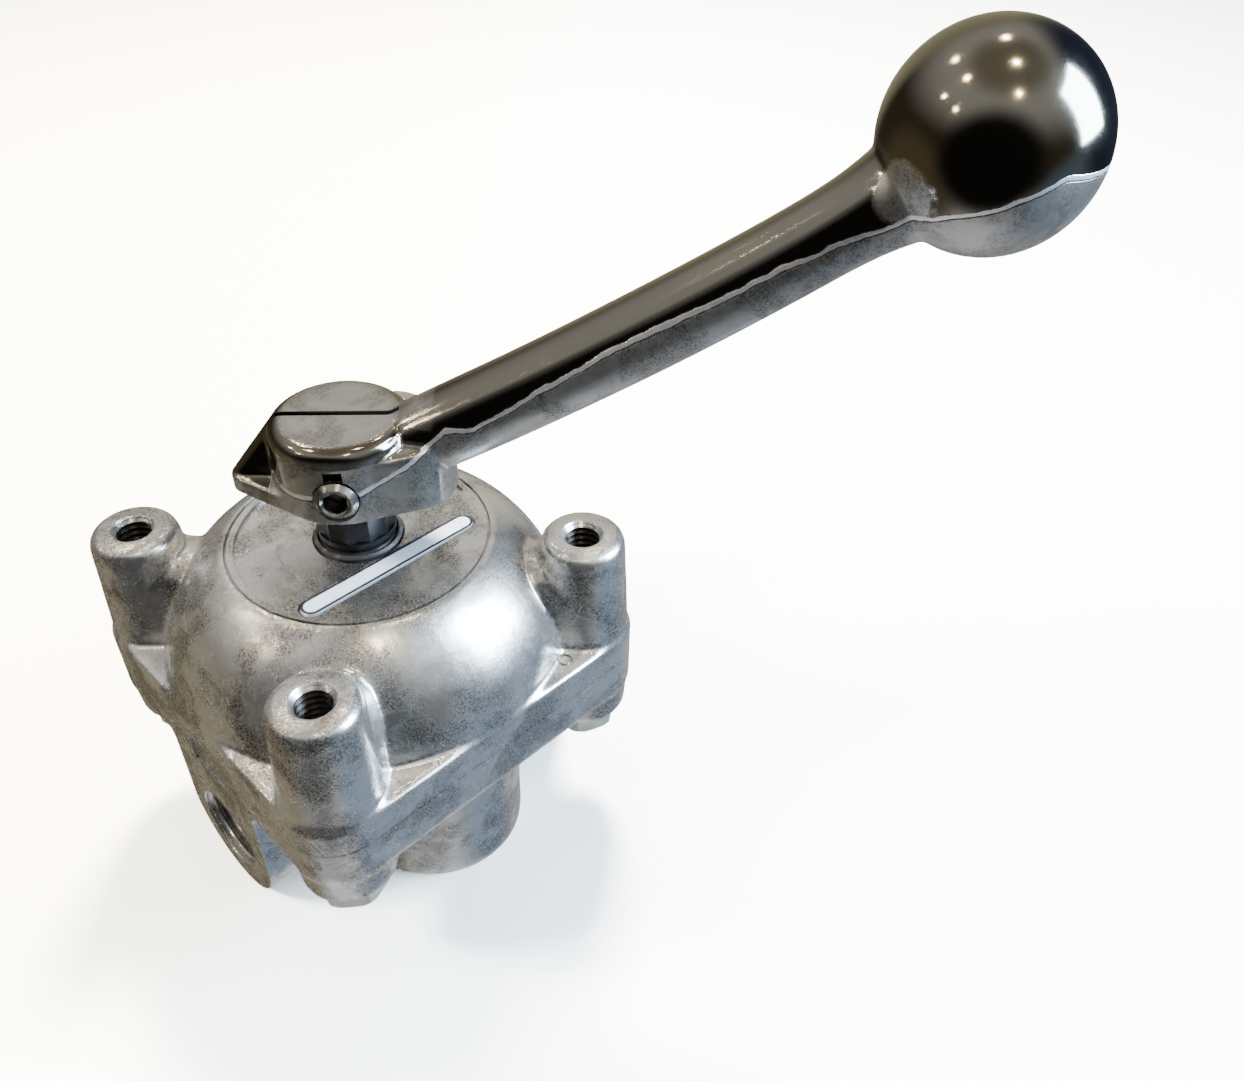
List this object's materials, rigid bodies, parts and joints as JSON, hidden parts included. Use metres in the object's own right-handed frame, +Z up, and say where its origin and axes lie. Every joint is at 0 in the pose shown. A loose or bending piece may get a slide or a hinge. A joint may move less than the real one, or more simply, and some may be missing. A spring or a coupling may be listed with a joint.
{
  "type": "rotary lever valve",
  "caption": "Hand-lever rotary disc valve with a square die-cast body, four mounting posts, side and bottom ports and a ball-ended lever.",
  "frame": {"origin": "centre of the underside of the base, on the stem's axis", "axes": "+Z up along the stem; side ports face -X and +X; bottom ports lie on -Y and +Y; the lever rests over the +X -Y corner"},
  "size_m": [0.1344, 0.1282, 0.1633],
  "materials": {
    "cast_aluminium": "satin die-cast skin, grimy in the corners",
    "lever_metal": "polished above the parting line, satin below it",
    "black_steel": "black oxide, oily",
    "zinc_steel": "pale zinc plate",
    "plain_steel": "bright",
    "lapped_steel": "lapped, mirror-like",
    "bronze": "satin",
    "black_rubber": "matte",
    "pale_label": "anodised, pale"
  },
  "bodies": {
    "body": {"base_body": "cast_aluminium", "cover": "cast_aluminium", "cover_seal_ring": "black_rubber", "nameplate": "pale_label", "cover_bolt_1": "zinc_steel", "cover_bolt_2": "zinc_steel", "cover_bolt_3": "zinc_steel", "cover_bolt_4": "zinc_steel", "pressure_seal_1": "lapped_steel", "pressure_seal_2": "lapped_steel", "pressure_seal_3": "lapped_steel", "pressure_seal_4": "lapped_steel", "seal_ring_1": "black_rubber", "seal_ring_2": "black_rubber", "seal_ring_3": "black_rubber", "seal_ring_4": "black_rubber", "seal_spring_1": "plain_steel", "seal_spring_2": "plain_steel", "seal_spring_3": "plain_steel", "seal_spring_4": "plain_steel", "rotor_pivot_pin": "plain_steel", "stop_pin": "plain_steel", "detent_spring": "plain_steel", "thrust_race_upper": "plain_steel", "stem_bushing": "bronze", "stem_seal_ring": "black_rubber", "stem_wiper": "black_rubber"},
    "lever_and_rotor": {"lever": "lever_metal", "lever_set_screw": "black_steel", "stem": "black_steel", "thrust_race_lower": "plain_steel", "rotor": "lapped_steel", "rotor_plug_1": "plain_steel", "rotor_plug_2": "plain_steel"},
    "bearing_cage": {"thrust_bearing_cage": "bronze"},
    "detent": {"detent_ball": "lapped_steel"}
  },
  "joints": [
    {"name": "lever_turn", "type": "hinge", "parent": "body", "child": "lever_and_rotor", "pos_m": [0, 0, 0.083], "axis": [0, 0, 1], "range_deg": [-45, 45]},
    {"name": "bearing_cage_turn", "type": "hinge", "parent": "body", "child": "bearing_cage", "pos_m": [0, 0, 0.0605], "axis": [0, 0, 1], "range_deg": [-22.5, 22.5]},
    {"name": "detent_lift", "type": "slide", "parent": "body", "child": "detent", "axis": [0, 0, 1], "range_m": [0, 0.0009], "stiffness_N_per_m": 1500, "springref_m": -0.003, "deforming": ["detent_spring"]}
  ],
  "couplings": [
    {"joint": "bearing_cage_turn", "follows": "lever_turn", "ratio": 0.5}
  ]
}
